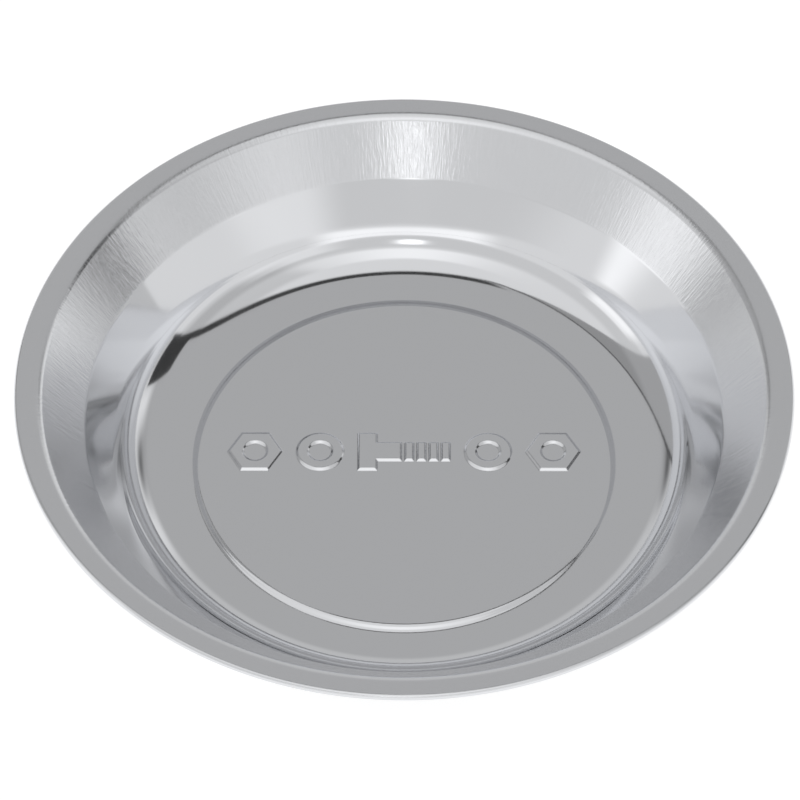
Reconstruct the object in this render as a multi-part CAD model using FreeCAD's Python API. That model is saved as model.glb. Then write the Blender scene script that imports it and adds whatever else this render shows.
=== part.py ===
import FreeCAD, Part
import math
import os

# A round magnetic tray for small parts: a pressed stainless dish on a magnet in a rubber boot.
# Millimetres. The origin is the centre of the surface it stands on, and +Z points up.

# --- Dish, measured on the inside (upper) surface -------------------------------------------
SHEET = 0.6
RIM_RADIUS = 75.0
DISH_DEPTH = 25.3            # from the lip down to the floor
PLATEAU_RISE = 0.9           # the centre is pressed up by this much
PLATEAU_RADIUS = 39.65       # where the step down to the floor begins
STEP_WIDTH = 2.9
STEP_EDGE = 0.8              # how far the step's sharp corners lie inside its width
STEP_ARC = 2.3
FLOOR_FILLET = 12.0
LOWER_WALL_SLOPE = 60.0      # degrees from horizontal, from the fillet up to the soft bend
SOFT_BEND_RADIUS = 56.0      # distance of the soft bend from the axis
SOFT_BEND_ARC = 34.0
MIDDLE_WALL_SLOPE = 54.5     # from the soft bend up to the crease
UPPER_WALL_SLOPE = 50.0      # from the crease up to the lip
CREASE_RADIUS = 62.0         # distance of the crease from the axis
CREASE_ARC = 14.0
MOUTH_RADIUS = 70.5          # where the upper wall would meet the lip
MOUTH_ARC = 3.5
CURL_RADIUS = 0.8            # outside of the rolled edge
HEM_LENGTH = 1.5             # flat return under the lip

# --- Raised row of hardware symbols on the plateau ------------------------------------------
EMBOSS_HEIGHT = 0.45
SYMBOL_HEIGHT = 9.1
SYMBOL_HOLE_RADIUS = 2.35
SYMBOL_GAP = 3.0
SYMBOL_ROW_Y = 1.8
BOLT_LENGTH = 18.0
BOLT_HEAD_LENGTH = 3.6
BOLT_SHANK_WIDTH = 4.4
THREAD_GROOVE = 0.8
THREAD_PITCH = 2.4
THREAD_GROOVE_COUNT = 4

# --- Magnet, its steel cup and the fastening ------------------------------------------------
ADHESIVE_THICKNESS = 0.6
MAGNET_THICKNESS = 8.0
MAGNET_RADIUS = 38.0
MAGNET_BORE_RADIUS = 9.0
MAGNET_CHAMFER = 0.5
CUP_SHEET = 1.2
CUP_INSIDE_RADIUS = 38.4
CUP_WALL_HEIGHT = 5.8        # inside height of the cup's wall
CUP_BOSS_RADIUS = 8.6        # outside of the raised centre that the magnet slips over
CUP_BOSS_HEIGHT = 5.4
CUP_BEND = 1.3               # inside radius of the cup's bends
STUD_RADIUS = 2.5
STUD_FLANGE_RADIUS = 5.0
STUD_FLANGE_THICKNESS = 0.8
STUD_POINT = 0.5
FIT = 0.05                   # radial clearance between pieces that slip together
FLAT_WASHER_RADIUS = 5.0
FLAT_WASHER_THICKNESS = 1.0
SPRING_WASHER_RADIUS = 4.4
SPRING_WASHER_THICKNESS = 1.2
SPRING_WASHER_SLOT = 0.9
NUT_ACROSS_FLATS = 8.0
NUT_HEIGHT = 4.0
NUT_CHAMFER = 0.6
NUT_BORE_CHAMFER = 0.4
STUD_PAST_NUT = 0.9

# --- Rubber boot ----------------------------------------------------------------------------
BOOT_FLOOR = 2.6
RIB_HEIGHT = 0.6
BOOT_RADIUS = 43.0
BOOT_TOP_RADIUS = 42.2
BOOT_LIP = 1.6
BOOT_LIP_GAP = 0.1
BOOT_EDGE_ROUND = 1.2
ACCESS_HOLE_RADIUS = 6.5
RIB_WIDTH = 2.0
RIB_RADII = [9.0, 17.0, 25.0, 33.0, 40.0]

# --- Heights that follow from these ---------------------------------------------------------
BOOT_FLOOR_TOP = RIB_HEIGHT + BOOT_FLOOR
CUP_FLOOR_TOP = BOOT_FLOOR_TOP + CUP_SHEET
MAGNET_TOP = CUP_FLOOR_TOP + MAGNET_THICKNESS
PLATEAU_UNDERSIDE = MAGNET_TOP + ADHESIVE_THICKNESS
PLATEAU_TOP = PLATEAU_UNDERSIDE + SHEET
FLOOR_TOP = PLATEAU_TOP - PLATEAU_RISE
RIM_TOP = FLOOR_TOP + DISH_DEPTH
CUP_BOSS_TOP = CUP_FLOOR_TOP + CUP_BOSS_HEIGHT
CUP_WALL_TOP = CUP_FLOOR_TOP + CUP_WALL_HEIGHT
BOOT_LIP_BOTTOM = CUP_WALL_TOP + BOOT_LIP_GAP
FLAT_WASHER_TOP = CUP_BOSS_TOP - CUP_SHEET
SPRING_WASHER_TOP = FLAT_WASHER_TOP - FLAT_WASHER_THICKNESS
NUT_TOP = SPRING_WASHER_TOP - SPRING_WASHER_THICKNESS
NUT_BOTTOM = NUT_TOP - NUT_HEIGHT
STUD_END = NUT_BOTTOM - STUD_PAST_NUT


def section_point(corner):
    """Place a (radius, height) pair in the XZ plane."""
    return FreeCAD.Vector(corner[0], 0, corner[1])


def unit(start, end):
    """Direction from one (radius, height) pair to the next."""
    length = math.dist(start, end)
    return ((end[0] - start[0]) / length, (end[1] - start[1]) / length)


def offset_corners(corners, distance):
    """Corners of the same path moved sideways, to the right of its direction."""
    directions = [unit(a, b) for a, b in zip(corners, corners[1:])]
    normals = [(dz, -dr) for dr, dz in directions]
    moved = [(corners[0][0] + distance * normals[0][0], corners[0][1] + distance * normals[0][1])]
    for corner, before, after in zip(corners[1:-1], normals, normals[1:]):
        mitre = distance / (1 + before[0] * after[0] + before[1] * after[1])
        moved.append((corner[0] + mitre * (before[0] + after[0]), corner[1] + mitre * (before[1] + after[1])))
    moved.append((corners[-1][0] + distance * normals[-1][0], corners[-1][1] + distance * normals[-1][1]))
    return moved


def offset_radii(corners, radii, distance):
    """Bend radii of the moved path: larger where the path turns left, smaller where it turns right."""
    directions = [unit(a, b) for a, b in zip(corners, corners[1:])]
    moved = []
    for radius, before, after in zip(radii, directions, directions[1:]):
        turns_left = before[0] * after[1] - before[1] * after[0] > 0
        moved.append(radius + distance if turns_left else radius - distance)
    return moved


def rounded_path(corners, radii):
    """Edges of a path whose inner corners are rounded by tangent arcs."""
    edges = []
    start = corners[0]
    for corner, following, radius in zip(corners[1:-1], corners[2:], radii):
        into = unit(start, corner)
        out = unit(corner, following)
        turn = math.acos(into[0] * out[0] + into[1] * out[1])
        reach = radius * math.tan(turn / 2)
        arc_start = (corner[0] - reach * into[0], corner[1] - reach * into[1])
        arc_end = (corner[0] + reach * out[0], corner[1] + reach * out[1])
        inward = unit((0, 0), (out[0] - into[0], out[1] - into[1]))
        sagitta = radius / math.cos(turn / 2) - radius
        arc_middle = (corner[0] + sagitta * inward[0], corner[1] + sagitta * inward[1])
        edges.append(Part.makeLine(section_point(start), section_point(arc_start)))
        arc = Part.Arc(section_point(arc_start), section_point(arc_middle), section_point(arc_end))
        edges.append(arc.toShape())
        start = arc_end
    edges.append(Part.makeLine(section_point(start), section_point(corners[-1])))
    return edges


def join(*corners):
    """Straight edges through a list of (radius, height) pairs."""
    return [Part.makeLine(section_point(a), section_point(b)) for a, b in zip(corners, corners[1:])]


def half_turn(centre, radius):
    """Arc from above a centre, round its outer side, to below it."""
    above = section_point((centre[0], centre[1] + radius))
    beside = section_point((centre[0] + radius, centre[1]))
    below = section_point((centre[0], centre[1] - radius))
    return Part.Arc(above, beside, below).toShape()


def revolve(edges):
    """Solid of revolution about Z of a closed outline in the XZ plane."""
    wire = Part.Wire(Part.__sortEdges__(edges))
    return Part.Face(wire).revolve(FreeCAD.Vector(0, 0, 0), FreeCAD.Vector(0, 0, 1), 360)


def ring(outer_radius, inner_radius, bottom, top):
    """Plain ring round the Z axis."""
    outer = Part.makeCylinder(outer_radius, top - bottom, FreeCAD.Vector(0, 0, bottom))
    bore = Part.makeCylinder(inner_radius, top - bottom, FreeCAD.Vector(0, 0, bottom))
    return outer.cut(bore)


def hexagon(across_flats, bottom, height):
    """Upright hexagonal prism with two flats facing +Y and -Y."""
    corner_radius = across_flats / math.sqrt(3)
    corners = []
    for index in range(7):
        angle = math.radians(60 * index)
        corners.append(FreeCAD.Vector(corner_radius * math.cos(angle), corner_radius * math.sin(angle), bottom))
    return Part.Face(Part.makePolygon(corners)).extrude(FreeCAD.Vector(0, 0, height))


def rise(run, slope):
    """Height gained over a horizontal run at a slope in degrees."""
    return run * math.tan(math.radians(slope))


def slope_run(height, slope):
    """Horizontal run of a wall that rises by a height at a slope in degrees."""
    return height / math.tan(math.radians(slope))


def dish_corners():
    """Sharp corners and bend radii of the dish's inside, from the axis to the start of the curl."""
    crease_height = RIM_TOP - rise(MOUTH_RADIUS - CREASE_RADIUS, UPPER_WALL_SLOPE)
    bend_height = crease_height - rise(CREASE_RADIUS - SOFT_BEND_RADIUS, MIDDLE_WALL_SLOPE)
    wall_foot = SOFT_BEND_RADIUS - slope_run(bend_height - FLOOR_TOP, LOWER_WALL_SLOPE)
    corners = [
        (0, PLATEAU_TOP),
        (PLATEAU_RADIUS + STEP_EDGE, PLATEAU_TOP),
        (PLATEAU_RADIUS + STEP_WIDTH - STEP_EDGE, FLOOR_TOP),
        (wall_foot, FLOOR_TOP),
        (SOFT_BEND_RADIUS, bend_height),
        (CREASE_RADIUS, crease_height),
        (MOUTH_RADIUS, RIM_TOP),
        (RIM_RADIUS - CURL_RADIUS, RIM_TOP),
    ]
    radii = [STEP_ARC, STEP_ARC, FLOOR_FILLET, SOFT_BEND_ARC, CREASE_ARC, MOUTH_ARC]
    return corners, radii


def rolled_edge():
    """Edges that close the dish's section round its curled rim and the hem under the lip."""
    centre = (RIM_RADIUS - CURL_RADIUS, RIM_TOP - CURL_RADIUS)
    inner_radius = CURL_RADIUS - SHEET
    hem_end = centre[0] - HEM_LENGTH
    outer_foot = (centre[0], centre[1] - CURL_RADIUS)
    inner_foot = (centre[0], centre[1] - inner_radius)
    hem = join(outer_foot, (hem_end, outer_foot[1]), (hem_end, inner_foot[1]), inner_foot)
    return [half_turn(centre, CURL_RADIUS)] + hem + [half_turn(centre, inner_radius)]


def symbol_nut(centre_x):
    """Raised hex nut seen from above."""
    base = PLATEAU_TOP - SHEET / 2
    height = SHEET / 2 + EMBOSS_HEIGHT
    body = hexagon(SYMBOL_HEIGHT, base, height)
    hole = Part.makeCylinder(SYMBOL_HOLE_RADIUS, height, FreeCAD.Vector(0, 0, base))
    return body.cut(hole).translated(FreeCAD.Vector(centre_x, SYMBOL_ROW_Y, 0))


def symbol_washer(centre_x):
    """Raised flat washer seen from above."""
    base = PLATEAU_TOP - SHEET / 2
    body = ring(SYMBOL_HEIGHT / 2, SYMBOL_HOLE_RADIUS, base, PLATEAU_TOP + EMBOSS_HEIGHT)
    return body.translated(FreeCAD.Vector(centre_x, SYMBOL_ROW_Y, 0))


def symbol_bolt(centre_x):
    """Raised hex bolt lying on its side, with thread grooves across its shank."""
    base = PLATEAU_TOP - SHEET / 2
    height = SHEET / 2 + EMBOSS_HEIGHT
    left = centre_x - BOLT_LENGTH / 2
    head_corner = FreeCAD.Vector(left, SYMBOL_ROW_Y - SYMBOL_HEIGHT / 2, base)
    head = Part.makeBox(BOLT_HEAD_LENGTH, SYMBOL_HEIGHT, height, head_corner)
    shank_corner = FreeCAD.Vector(left, SYMBOL_ROW_Y - BOLT_SHANK_WIDTH / 2, base)
    bolt = head.fuse(Part.makeBox(BOLT_LENGTH, BOLT_SHANK_WIDTH, height, shank_corner))
    for index in range(THREAD_GROOVE_COUNT):
        groove_x = left + BOLT_LENGTH - THREAD_PITCH * (index + 1)
        groove_corner = FreeCAD.Vector(groove_x, SYMBOL_ROW_Y - SYMBOL_HEIGHT / 2, PLATEAU_TOP)
        bolt = bolt.cut(Part.makeBox(THREAD_GROOVE, SYMBOL_HEIGHT, height, groove_corner))
    return bolt


def symbol_row():
    """Nut, washer, bolt, washer and nut, evenly spaced across the plateau."""
    nut_width = SYMBOL_HEIGHT * 2 / math.sqrt(3)
    washer_x = BOLT_LENGTH / 2 + SYMBOL_GAP + SYMBOL_HEIGHT / 2
    nut_x = washer_x + SYMBOL_HEIGHT / 2 + SYMBOL_GAP + nut_width / 2
    symbols = [symbol_bolt(0)]
    for side in (-1, 1):
        symbols.append(symbol_washer(side * washer_x))
        symbols.append(symbol_nut(side * nut_x))
    return symbols


def make_dish():
    corners, radii = dish_corners()
    inside = rounded_path(corners, radii)
    underside = rounded_path(offset_corners(corners, SHEET), offset_radii(corners, radii, SHEET))
    axis_edge = join((0, PLATEAU_UNDERSIDE), (0, PLATEAU_TOP))
    dish = revolve(inside + rolled_edge() + underside + axis_edge)
    return dish.fuse(symbol_row()).removeSplitter()


def make_weld_stud():
    """Threaded stud, its flange welded under the middle of the dish."""
    flange_bottom = PLATEAU_UNDERSIDE - STUD_FLANGE_THICKNESS
    return revolve(join(
        (0, PLATEAU_UNDERSIDE),
        (STUD_FLANGE_RADIUS, PLATEAU_UNDERSIDE),
        (STUD_FLANGE_RADIUS, flange_bottom),
        (STUD_RADIUS, flange_bottom),
        (STUD_RADIUS, STUD_END + STUD_POINT),
        (STUD_RADIUS - STUD_POINT, STUD_END),
        (0, STUD_END),
        (0, PLATEAU_UNDERSIDE),
    ))


def make_adhesive_ring():
    outer_radius = MAGNET_RADIUS - MAGNET_CHAMFER
    inner_radius = MAGNET_BORE_RADIUS + MAGNET_CHAMFER
    return ring(outer_radius, inner_radius, MAGNET_TOP, PLATEAU_UNDERSIDE)


def make_ring_magnet():
    return revolve(join(
        (MAGNET_BORE_RADIUS, CUP_FLOOR_TOP + CUP_BEND),
        (MAGNET_BORE_RADIUS, MAGNET_TOP - MAGNET_CHAMFER),
        (MAGNET_BORE_RADIUS + MAGNET_CHAMFER, MAGNET_TOP),
        (MAGNET_RADIUS - MAGNET_CHAMFER, MAGNET_TOP),
        (MAGNET_RADIUS, MAGNET_TOP - MAGNET_CHAMFER),
        (MAGNET_RADIUS, CUP_FLOOR_TOP + CUP_BEND),
        (MAGNET_RADIUS - CUP_BEND, CUP_FLOOR_TOP),
        (MAGNET_BORE_RADIUS + CUP_BEND, CUP_FLOOR_TOP),
        (MAGNET_BORE_RADIUS, CUP_FLOOR_TOP + CUP_BEND),
    ))


def make_steel_cup():
    """Drawn steel cup that holds the magnet, with a raised centre for the nut."""
    corners = [
        (STUD_RADIUS + FIT, CUP_BOSS_TOP),
        (CUP_BOSS_RADIUS, CUP_BOSS_TOP),
        (CUP_BOSS_RADIUS, CUP_FLOOR_TOP),
        (CUP_INSIDE_RADIUS, CUP_FLOOR_TOP),
        (CUP_INSIDE_RADIUS, CUP_WALL_TOP),
    ]
    radii = [CUP_BEND + CUP_SHEET, CUP_BEND, CUP_BEND]
    below_corners = offset_corners(corners, CUP_SHEET)
    inside = rounded_path(corners, radii)
    outside = rounded_path(below_corners, offset_radii(corners, radii, CUP_SHEET))
    ends = join(corners[0], below_corners[0]) + join(corners[-1], below_corners[-1])
    return revolve(inside + outside + ends)


def make_flat_washer():
    return ring(FLAT_WASHER_RADIUS, STUD_RADIUS + FIT, SPRING_WASHER_TOP, FLAT_WASHER_TOP)


def make_spring_washer():
    """Split ring, cut through on one side by a slanted slot."""
    body = ring(SPRING_WASHER_RADIUS, STUD_RADIUS + FIT, NUT_TOP, SPRING_WASHER_TOP)
    slant = SPRING_WASHER_THICKNESS
    corners = [
        FreeCAD.Vector(0, 0, NUT_TOP),
        FreeCAD.Vector(0, SPRING_WASHER_SLOT, NUT_TOP),
        FreeCAD.Vector(0, SPRING_WASHER_SLOT + slant, SPRING_WASHER_TOP),
        FreeCAD.Vector(0, slant, SPRING_WASHER_TOP),
        FreeCAD.Vector(0, 0, NUT_TOP),
    ]
    slot = Part.Face(Part.makePolygon(corners)).extrude(FreeCAD.Vector(SPRING_WASHER_RADIUS, 0, 0))
    return body.cut(slot)


def make_hex_nut():
    """Hex nut with chamfered corners and a countersunk bore."""
    body = hexagon(NUT_ACROSS_FLATS, NUT_BOTTOM, NUT_HEIGHT)
    corner_radius = NUT_ACROSS_FLATS / math.sqrt(3)
    bore_radius = STUD_RADIUS + FIT
    turned = revolve(join(
        (bore_radius + NUT_BORE_CHAMFER, NUT_BOTTOM),
        (corner_radius - NUT_CHAMFER, NUT_BOTTOM),
        (corner_radius, NUT_BOTTOM + NUT_CHAMFER / 2),
        (corner_radius, NUT_TOP - NUT_CHAMFER / 2),
        (corner_radius - NUT_CHAMFER, NUT_TOP),
        (bore_radius + NUT_BORE_CHAMFER, NUT_TOP),
        (bore_radius, NUT_TOP - NUT_BORE_CHAMFER),
        (bore_radius, NUT_BOTTOM + NUT_BORE_CHAMFER),
        (bore_radius + NUT_BORE_CHAMFER, NUT_BOTTOM),
    ))
    return body.common(turned)


def make_rubber_boot():
    """Rubber cover round the cup, its lip snapped over the cup's wall and ribs on its underside."""
    cavity_radius = CUP_INSIDE_RADIUS + CUP_SHEET + FIT
    lip_radius = CUP_INSIDE_RADIUS
    top = BOOT_LIP_BOTTOM + BOOT_LIP
    boot = revolve(join(
        (ACCESS_HOLE_RADIUS, RIB_HEIGHT),
        (BOOT_RADIUS - BOOT_EDGE_ROUND, RIB_HEIGHT),
        (BOOT_RADIUS, RIB_HEIGHT + BOOT_EDGE_ROUND),
        (BOOT_TOP_RADIUS, top),
        (lip_radius, top),
        (lip_radius, BOOT_LIP_BOTTOM),
        (cavity_radius, BOOT_LIP_BOTTOM),
        (cavity_radius, BOOT_FLOOR_TOP),
        (ACCESS_HOLE_RADIUS, BOOT_FLOOR_TOP),
        (ACCESS_HOLE_RADIUS, RIB_HEIGHT),
    ))
    ribs = [ring(r + RIB_WIDTH / 2, r - RIB_WIDTH / 2, 0, RIB_HEIGHT) for r in RIB_RADII]
    return boot.fuse(ribs).removeSplitter()


SUB_PARTS = {
    "dish": make_dish,
    "weld_stud": make_weld_stud,
    "adhesive_ring": make_adhesive_ring,
    "ring_magnet": make_ring_magnet,
    "steel_cup": make_steel_cup,
    "flat_washer": make_flat_washer,
    "spring_washer": make_spring_washer,
    "hex_nut": make_hex_nut,
    "rubber_boot": make_rubber_boot,
}


def main():
    os.makedirs("parts", exist_ok=True)
    for name, make in SUB_PARTS.items():
        shape = make()
        if not shape.isValid() or len(shape.Solids) != 1:
            raise ValueError(name + " is not one valid solid")
        shape.exportStep("parts/" + name + ".step")
        box = shape.BoundBox
        print("%-14s %9.1f mm3  z %.2f to %.2f  r %.2f" % (name, shape.Volume, box.ZMin, box.ZMax, box.XMax))


main()
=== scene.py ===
import math

import bpy
import numpy as np
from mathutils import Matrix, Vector
from mathutils.geometry import delaunay_2d_cdt


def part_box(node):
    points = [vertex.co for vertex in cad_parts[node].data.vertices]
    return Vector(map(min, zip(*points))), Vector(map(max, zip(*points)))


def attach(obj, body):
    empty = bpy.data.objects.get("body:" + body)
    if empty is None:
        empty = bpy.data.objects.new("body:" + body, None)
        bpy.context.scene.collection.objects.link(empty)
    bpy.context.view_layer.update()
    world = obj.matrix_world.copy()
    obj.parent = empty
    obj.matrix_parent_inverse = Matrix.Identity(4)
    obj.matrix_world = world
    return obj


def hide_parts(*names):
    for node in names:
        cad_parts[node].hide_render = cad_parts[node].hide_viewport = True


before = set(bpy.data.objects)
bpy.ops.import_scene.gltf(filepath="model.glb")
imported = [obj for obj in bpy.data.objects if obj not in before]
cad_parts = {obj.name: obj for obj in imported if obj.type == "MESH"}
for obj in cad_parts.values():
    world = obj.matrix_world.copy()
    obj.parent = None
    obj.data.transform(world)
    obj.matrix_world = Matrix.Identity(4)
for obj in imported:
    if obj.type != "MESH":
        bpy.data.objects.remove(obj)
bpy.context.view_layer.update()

# --- Places read from the frame, in metres ---------------------------------------------------
MM = 0.001
RIM_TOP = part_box("dish")[1].z
MAGNET_LOW, MAGNET_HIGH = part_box("ring_magnet")
ADHESIVE_LOW, ADHESIVE_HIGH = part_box("adhesive_ring")
CUP_LOW, CUP_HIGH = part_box("steel_cup")
BOOT_LOW, BOOT_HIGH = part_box("rubber_boot")
STUD_LOW, STUD_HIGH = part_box("weld_stud")
NUT_LOW, NUT_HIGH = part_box("hex_nut")
FLAT_WASHER_LOW, FLAT_WASHER_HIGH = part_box("flat_washer")
SPRING_WASHER_LOW, SPRING_WASHER_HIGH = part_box("spring_washer")

# --- Dish, with the section of the CAD dish --------------------------------------------------
SHEET = 0.6 * MM
RIM_RADIUS = 75.0 * MM
PLATEAU_TOP = ADHESIVE_HIGH.z + SHEET
PLATEAU_RISE = 0.9 * MM
PLATEAU_RADIUS = 39.65 * MM
STEP_WIDTH = 2.9 * MM
STEP_EDGE = 0.8 * MM
STEP_ARC = 2.3 * MM
FLOOR_TOP = PLATEAU_TOP - PLATEAU_RISE
FLOOR_FILLET = 12.0 * MM
LOWER_WALL_SLOPE = math.radians(60.0)
SOFT_BEND_RADIUS = 56.0 * MM
SOFT_BEND_ARC = 34.0 * MM
MIDDLE_WALL_SLOPE = math.radians(54.5)
UPPER_WALL_SLOPE = math.radians(50.0)
CREASE_RADIUS = 62.0 * MM
CREASE_ARC = 14.0 * MM
MOUTH_RADIUS = 70.5 * MM
MOUTH_ARC = 3.5 * MM
CURL_RADIUS = 0.8 * MM
HEM_LENGTH = 1.5 * MM
HEM_START = RIM_RADIUS - CURL_RADIUS - HEM_LENGTH
LIP_START = MOUTH_RADIUS + MOUTH_ARC / 4
SHEET_EDGE_ARC = 0.08 * MM

# --- Raised row of hardware symbols ----------------------------------------------------------
EMBOSS_HEIGHT = 0.45 * MM
EMBOSS_SLOPE = 0.45 * MM         # half the width over which a raised edge rises
SYMBOL_HEIGHT = 9.1 * MM
SYMBOL_HOLE_RADIUS = 2.35 * MM
SYMBOL_GAP = 3.0 * MM
SYMBOL_ROW_Y = 1.8 * MM
BOLT_LENGTH = 18.0 * MM
BOLT_HEAD_LENGTH = 3.6 * MM
BOLT_SHANK_WIDTH = 4.4 * MM
THREAD_GROOVE = 0.8 * MM
THREAD_PITCH = 2.4 * MM
THREAD_GROOVE_COUNT = 4
PATCH_STEP = 0.16 * MM
PATCH_MARGIN = 1.6 * MM

# --- Magnet base -----------------------------------------------------------------------------
MAGNET_BORE_RADIUS = 9.0 * MM
MAGNET_CHAMFER = 0.5 * MM
ADHESIVE_BORE_RADIUS = 9.5 * MM
CUP_SHEET = 1.2 * MM
CUP_BOSS_RADIUS = 8.6 * MM
CUP_BORE_RADIUS = 2.55 * MM
CUP_BEND = 1.3 * MM
BOOT_FLOOR = 2.6 * MM
BOOT_LIP_RADIUS = 38.4 * MM
BOOT_LIP = 1.6 * MM
BOOT_TOP_RADIUS = 42.2 * MM
BOOT_EDGE_ROUND = 1.2 * MM
BOOT_SOFT_EDGE = 0.3 * MM
BOOT_FIT = 0.05 * MM
ACCESS_HOLE_RADIUS = 6.5 * MM
RIB_HEIGHT = 0.6 * MM
RIB_WIDTH = 2.0 * MM
RIB_RADII = [radius * MM for radius in (9.0, 17.0, 25.0, 33.0, 40.0)]

# --- Fastening -------------------------------------------------------------------------------
STUD_RADIUS = 2.5 * MM
STUD_FLANGE_THICKNESS = 0.8 * MM
STUD_POINT = 0.5 * MM
STUD_FILLET = 0.25 * MM
STUD_THREAD_PITCH = 0.8 * MM
STUD_THREAD_DEPTH = 0.42 * MM
STUD_THREAD_FADE = 0.8 * MM      # height over which the thread runs out below the flange
STUD_THREAD_FLAT = 1 / 6         # width of the thread's crest and of its root, in pitches
FASTENER_BORE_RADIUS = 2.55 * MM
NUT_BORE_CHAMFER = 0.4 * MM
NUT_CORNER_TRIM = 0.1 * MM
NUT_BEVEL = math.radians(30)
SPRING_WASHER_SLOT = 0.9 * MM
SMALL_EDGE = 0.12 * MM

# --- Fineness of the meshes ------------------------------------------------------------------
DISH_SEGMENTS = 480
BASE_SEGMENTS = 240
SMALL_SEGMENTS = 96
NUT_SEGMENTS = 2 * SMALL_SEGMENTS
ARC_STEP = math.radians(2.5)
STUD_ROW_STEP = 0.08 * MM
SHARP_ANGLE = math.radians(32)
NEARLY = 0.999                   # keeps neighbouring arcs of a tight bend from touching
SAME_POINT = 1e-4 * MM           # points closer than this are one point
FILL_TOLERANCE = 1e-6 * MM


# --- Sections of turned and pressed pieces ---------------------------------------------------

def rounded_outline(corners, radii):
    """Points and outward normals along a path whose inner corners are rounded by tangent arcs.

    Each corner is a (radius, height) pair. The solid lies to the right of the path.
    """
    points = []
    start = np.array(corners[0], float)
    for corner, following, radius in zip(corners[1:-1], corners[2:], radii):
        corner = np.array(corner, float)
        into = (corner - start) / np.linalg.norm(corner - start)
        out = np.array(following, float) - corner
        out /= np.linalg.norm(out)
        cross = into[0] * out[1] - into[1] * out[0]
        turn = math.acos(max(-1.0, min(1.0, float(into @ out))))
        reach = radius * math.tan(turn / 2)
        arc_start = corner - reach * into
        side = math.copysign(1.0, cross)
        to_centre = side * np.array([-into[1], into[0]])
        centre = arc_start + radius * to_centre
        normal_in = np.array([-into[1], into[0]])
        points.append((start, normal_in))
        steps = max(2, math.ceil(turn / ARC_STEP))
        for index in range(steps + 1):
            angle = side * turn * index / steps
            points.append((centre - radius * turned(to_centre, angle), turned(normal_in, angle)))
        start = points[-1][0]
    last = np.array(corners[-1], float)
    direction = (last - start) / np.linalg.norm(last - start)
    points.append((last, np.array([-direction[1], direction[0]])))
    return drop_repeats(points)


def turned(vector, angle):
    """The same flat vector turned anticlockwise."""
    cosine, sine = math.cos(angle), math.sin(angle)
    return np.array([vector[0] * cosine - vector[1] * sine, vector[0] * sine + vector[1] * cosine])


def drop_repeats(points):
    """The same outline without points that lie on the one before."""
    kept = [points[0]]
    for point, normal in points[1:]:
        if np.linalg.norm(point - kept[-1][0]) > SAME_POINT:
            kept.append((point, normal))
    return kept


def closed_outline(corners, radii):
    """Outline of a ring's section: it starts in the middle of the last side and ends just before it."""
    seam = tuple((np.array(corners[-1]) + np.array(corners[0])) / 2)
    return rounded_outline([seam, *corners, seam], radii)[:-1]


def moved_inward(corners, distance):
    """The same path moved sideways, to the right of its direction."""
    corners = [np.array(corner, float) for corner in corners]
    directions = [(b - a) / np.linalg.norm(b - a) for a, b in zip(corners, corners[1:])]
    normals = [np.array([d[1], -d[0]]) for d in directions]
    moved = [corners[0] + distance * normals[0]]
    for corner, before, after in zip(corners[1:-1], normals, normals[1:]):
        moved.append(corner + distance * (before + after) / (1 + before @ after))
    moved.append(corners[-1] + distance * normals[-1])
    return moved


def moved_radii(corners, radii, distance):
    """Bend radii of the moved path: larger where it turns left, smaller where it turns right."""
    result = []
    for before, corner, after, radius in zip(corners, corners[1:], corners[2:], radii):
        into = np.subtract(corner, before)
        out = np.subtract(after, corner)
        turns_left = into[0] * out[1] - into[1] * out[0] > 0
        result.append(radius + distance if turns_left else radius - distance)
    return result


# --- Meshes ----------------------------------------------------------------------------------

class MeshDraft:
    """Vertices, and faces with a material index, before they become an object."""

    def __init__(self):
        self.vertices = []
        self.normals = []
        self.faces = []
        self.face_materials = []

    def add_vertices(self, positions, normals=()):
        """Adds vertices and returns their indices. Normals are given where they are to be exact."""
        first = len(self.vertices)
        self.vertices.extend(map(tuple, positions))
        self.normals.extend(map(tuple, normals))
        return list(range(first, len(self.vertices)))

    def add_face(self, corners, material=0):
        self.faces.append(tuple(corners))
        self.face_materials.append(material)

    def join_loops(self, lower, upper, material=0):
        """Faces between two closed loops of vertices. One point repeated as a loop closes the end."""
        for here in range(len(lower)):
            after = (here + 1) % len(lower)
            corners = [lower[here], upper[here], upper[after], lower[after]]
            if corners[0] == corners[3]:
                corners = corners[:3]
            elif corners[1] == corners[2]:
                corners = [corners[0], corners[1], corners[3]]
            self.add_face(corners, material)

    def to_object(self, name, materials, sharp_angle=None):
        """Makes the object. With a sharp angle its normals come from the faces, not from the draft."""
        mesh = bpy.data.meshes.new(name)
        mesh.from_pydata(self.vertices, [], self.faces)
        for material in materials:
            mesh.materials.append(material)
        mesh.polygons.foreach_set("material_index", self.face_materials)
        mesh.shade_smooth()
        if sharp_angle is None:
            mesh.normals_split_custom_set_from_vertices(self.normals)
        else:
            mesh.set_sharp_from_angle(angle=sharp_angle)
        mesh.update()
        piece = bpy.data.objects.new(name, mesh)
        bpy.context.collection.objects.link(piece)
        return piece


def circle_angles(segments):
    """Evenly spaced angles once round the Z axis."""
    return np.arange(segments) * 2 * math.pi / segments


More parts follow.
